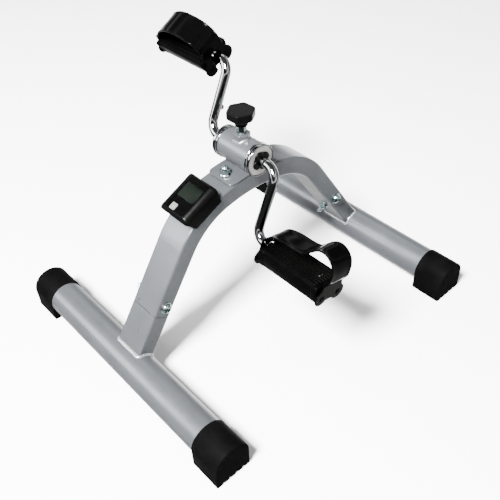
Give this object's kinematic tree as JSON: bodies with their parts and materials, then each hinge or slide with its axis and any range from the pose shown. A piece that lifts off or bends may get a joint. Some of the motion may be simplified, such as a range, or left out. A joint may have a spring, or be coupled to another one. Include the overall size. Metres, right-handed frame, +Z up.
{
  "type": "pedal exerciser",
  "caption": "Floor-standing pedal exerciser: bent rectangular arch on round floor tubes, with a bent-bar crank, strapped pedals, a hex tension knob and a small cycle computer.",
  "frame": {"origin": "floor point under the middle of the machine, on the soles of the end caps", "axes": "+Z up; the user sits on the -Y side and faces +Y; +X is to the user's right, along the pedal spindles and floor tubes"},
  "size_m": [0.4, 0.464, 0.3775],
  "materials": {
    "silver_paint": "satin metallic paint",
    "zinc": "bright zinc",
    "plain_steel": "bare",
    "chrome": "polished",
    "stud_steel": "dark zinc",
    "cap_rubber": "matt, finely textured",
    "pedal_plastic": "moulded, semi-gloss",
    "strap_plastic": "flexible, glossy",
    "knob_plastic": "satin",
    "bearing_plastic": "satin",
    "bush_plastic": "satin",
    "shoe_felt": "dry",
    "display_plastic": "semi-gloss",
    "display_window": "clear",
    "lcd_grey": "satin",
    "button_cream": "satin",
    "board_green": "lacquered",
    "cell_steel": "bright"
  },
  "bodies": {
    "frame": {"arch_tube": "silver_paint", "bearing_disc_left": "bearing_plastic", "bearing_disc_right": "bearing_plastic", "button_cell": "cell_steel", "display_base": "display_plastic", "display_board": "board_green", "display_housing": "display_plastic", "display_lens": "display_window", "front_base_tube": "silver_paint", "front_joint_sleeve": "plain_steel", "front_left_end_cap": "cap_rubber", "front_leg_bolt": "zinc", "front_leg_nut": "zinc", "front_leg_stub": "silver_paint", "front_leg_weld": "silver_paint", "front_right_end_cap": "cap_rubber", "hub_plate": "silver_paint", "hub_ring_left": "chrome", "hub_ring_right": "chrome", "hub_tube": "silver_paint", "hub_weld_front": "silver_paint", "hub_weld_rear": "silver_paint", "lcd_panel": "lcd_grey", "plate_bolt_front": "zinc", "plate_bolt_rear": "zinc", "plate_nut_front": "zinc", "plate_nut_rear": "zinc", "rear_base_tube": "silver_paint", "rear_joint_sleeve": "plain_steel", "rear_left_end_cap": "cap_rubber", "rear_leg_bolt": "zinc", "rear_leg_nut": "zinc", "rear_leg_stub": "silver_paint", "rear_leg_weld": "silver_paint", "rear_lock_bolt": "zinc", "rear_lock_nut": "zinc", "rear_right_end_cap": "cap_rubber", "tension_boss": "silver_paint"},
    "crank": {"axle_core": "plain_steel", "arm_stud": "stud_steel", "crank_bar_left": "chrome", "crank_bar_right": "chrome", "crank_bush_left": "bush_plastic", "crank_bush_right": "bush_plastic", "left_spindle_clip": "plain_steel", "right_spindle_clip": "plain_steel"},
    "right_pedal": {"right_pedal_body": "pedal_plastic", "right_pedal_strap": "strap_plastic"},
    "left_pedal": {"left_pedal_body": "pedal_plastic", "left_pedal_strap": "strap_plastic"},
    "brake_shoe": {"brake_shoe": "shoe_felt"},
    "tension_knob": {"tension_knob": "knob_plastic", "tension_screw": "zinc"},
    "display_button": {"display_button": "button_cream"}
  },
  "joints": [
    {"name": "crank_spin", "type": "hinge", "parent": "frame", "child": "crank", "pos_m": [0, 0, 0.2523], "axis": [1, 0, 0], "continuous": true},
    {"name": "right_pedal_spin", "type": "hinge", "parent": "crank", "child": "right_pedal", "pos_m": [0.134, -0.03719, 0.17255], "axis": [1, 0, 0], "continuous": true},
    {"name": "left_pedal_spin", "type": "hinge", "parent": "crank", "child": "left_pedal", "pos_m": [-0.134, 0.03719, 0.33205], "axis": [1, 0, 0], "continuous": true},
    {"name": "shoe_slide", "type": "slide", "parent": "frame", "child": "brake_shoe", "axis": [0, 0, 1], "range_m": [-0.0003, 0.0031]},
    {"name": "knob_turn", "type": "hinge", "parent": "brake_shoe", "child": "tension_knob", "pos_m": [0, 0, 0.3], "axis": [0, 0, 1], "range_deg": [-72, 864]},
    {"name": "button_press", "type": "slide", "parent": "frame", "child": "display_button", "axis": [0, 0.4226, -0.9063], "range_m": [0, 0.0006], "stiffness_N_per_m": 400}
  ],
  "couplings": [
    {"joint": "shoe_slide", "follows": "knob_turn", "m_per_rad": 0.00019894}
  ]
}
